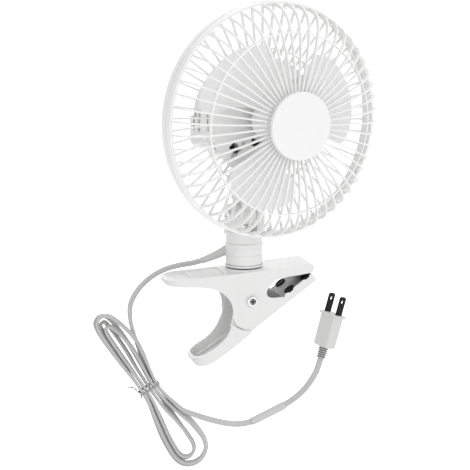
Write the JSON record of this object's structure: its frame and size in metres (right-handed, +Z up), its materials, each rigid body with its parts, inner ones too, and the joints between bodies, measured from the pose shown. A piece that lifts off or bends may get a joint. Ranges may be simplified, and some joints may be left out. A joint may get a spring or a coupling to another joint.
{
  "type": "clip fan",
  "caption": "Small desk fan on a swivel neck that stands on a sprung clip, with a round guard, wide blades and a bundled flat mains cord with plug.",
  "frame": {"origin": "middle of the grip between the clip's two jaws", "axes": "+Z up along the neck, +X out of the jaws, -Y the side the fan blows to, with the head turned a little toward +X"},
  "size_m": [0.2223, 0.1165, 0.3842],
  "materials": {
    "body_plastic": "smooth white moulded plastic, low gloss",
    "guard_plastic": "smooth white moulded plastic",
    "badge_plastic": "plain satin disc, blank",
    "blade_plastic": "light grey moulded plastic",
    "knob_plastic": "light grey moulded plastic",
    "dark_plastic": "black moulded plastic",
    "grommet_rubber": "soft grey grommet",
    "pad_rubber": "black rubber, matte",
    "screw_steel": "bright zinc plated steel",
    "spring_steel": "drawn spring wire",
    "shaft_steel": "plain steel",
    "bearing_bronze": "oil-filled bronze",
    "core_steel": "stacked electrical steel",
    "coil_copper": "enamelled copper wire",
    "cord_vinyl": "light grey flat two-core cord",
    "plug_vinyl": "moulded light vinyl",
    "plug_metal": "plated blade contacts",
    "sleeve_film": "blank film sleeve",
    "tie_vinyl": "vinyl covered wire"
  },
  "bodies": {
    "clip_and_neck": {"clip_upper_half": "body_plastic", "upper_jaw_pads": "pad_rubber", "pivot_screw": "screw_steel", "pivot_nut": "screw_steel", "clip_spring": "spring_steel", "neck_washer": "dark_plastic", "neck_collar": "body_plastic", "cord_gland": "grommet_rubber", "power_cord_in": "cord_vinyl", "cord_hank": "cord_vinyl", "power_cord_out": "cord_vinyl", "cord_sleeve": "sleeve_film", "twist_tie": "tie_vinyl", "plug_relief": "plug_vinyl", "plug_body": "plug_vinyl", "plug_blades": "plug_metal"},
    "lower_jaw": {"clip_lower_half": "body_plastic", "lower_jaw_pads": "pad_rubber"},
    "swivel": {"neck_stem": "body_plastic", "swivel_screw": "screw_steel", "swivel_washer": "screw_steel", "tilt_bolt": "screw_steel", "tilt_nut": "screw_steel"},
    "head": {"motor_housing": "body_plastic", "rear_grille": "guard_plastic", "front_grille": "guard_plastic", "hub_badge": "badge_plastic", "grille_screw": "screw_steel", "housing_screws": "screw_steel", "stator_core": "core_steel", "stator_coils": "coil_copper", "motor_spacers": "shaft_steel", "motor_screws": "screw_steel", "front_end_frame": "shaft_steel", "rear_end_frame": "shaft_steel", "front_bearing": "bearing_bronze", "rear_bearing": "bearing_bronze", "speed_switch": "dark_plastic"},
    "rotor": {"motor_shaft": "shaft_steel", "rotor_core": "core_steel", "fan_blades": "blade_plastic", "blade_nut": "blade_plastic"},
    "knob": {"speed_knob": "knob_plastic"}
  },
  "joints": [
    {"name": "jaw_hinge", "type": "hinge", "parent": "clip_and_neck", "child": "lower_jaw", "pos_m": [-0.0417, 0, -0.0155], "axis": [0, 1, 0], "range_deg": [0, 35], "stiffness_Nm_per_rad": 0.6, "springref_deg": -40.11, "deforming": ["clip_spring"]},
    {"name": "neck_swivel", "type": "hinge", "parent": "clip_and_neck", "child": "swivel", "pos_m": [-0.043, 0, 0.02975], "axis": [0, 0, 1], "range_deg": [-104.5, 75.5]},
    {"name": "head_tilt", "type": "hinge", "parent": "swivel", "child": "head", "pos_m": [-0.043, 0, 0.0516], "axis": [0.9681, 0.2504, 0], "range_deg": [-45, 20]},
    {"name": "fan_spin", "type": "hinge", "parent": "head", "child": "rotor", "pos_m": [-0.043, 0, 0.1326], "axis": [0.2504, -0.9681, 0], "continuous": true},
    {"name": "speed_turn", "type": "hinge", "parent": "head", "child": "knob", "pos_m": [-0.043, 0, 0.1326], "axis": [-0.2504, 0.9681, 0], "range_deg": [0, 120]}
  ]
}
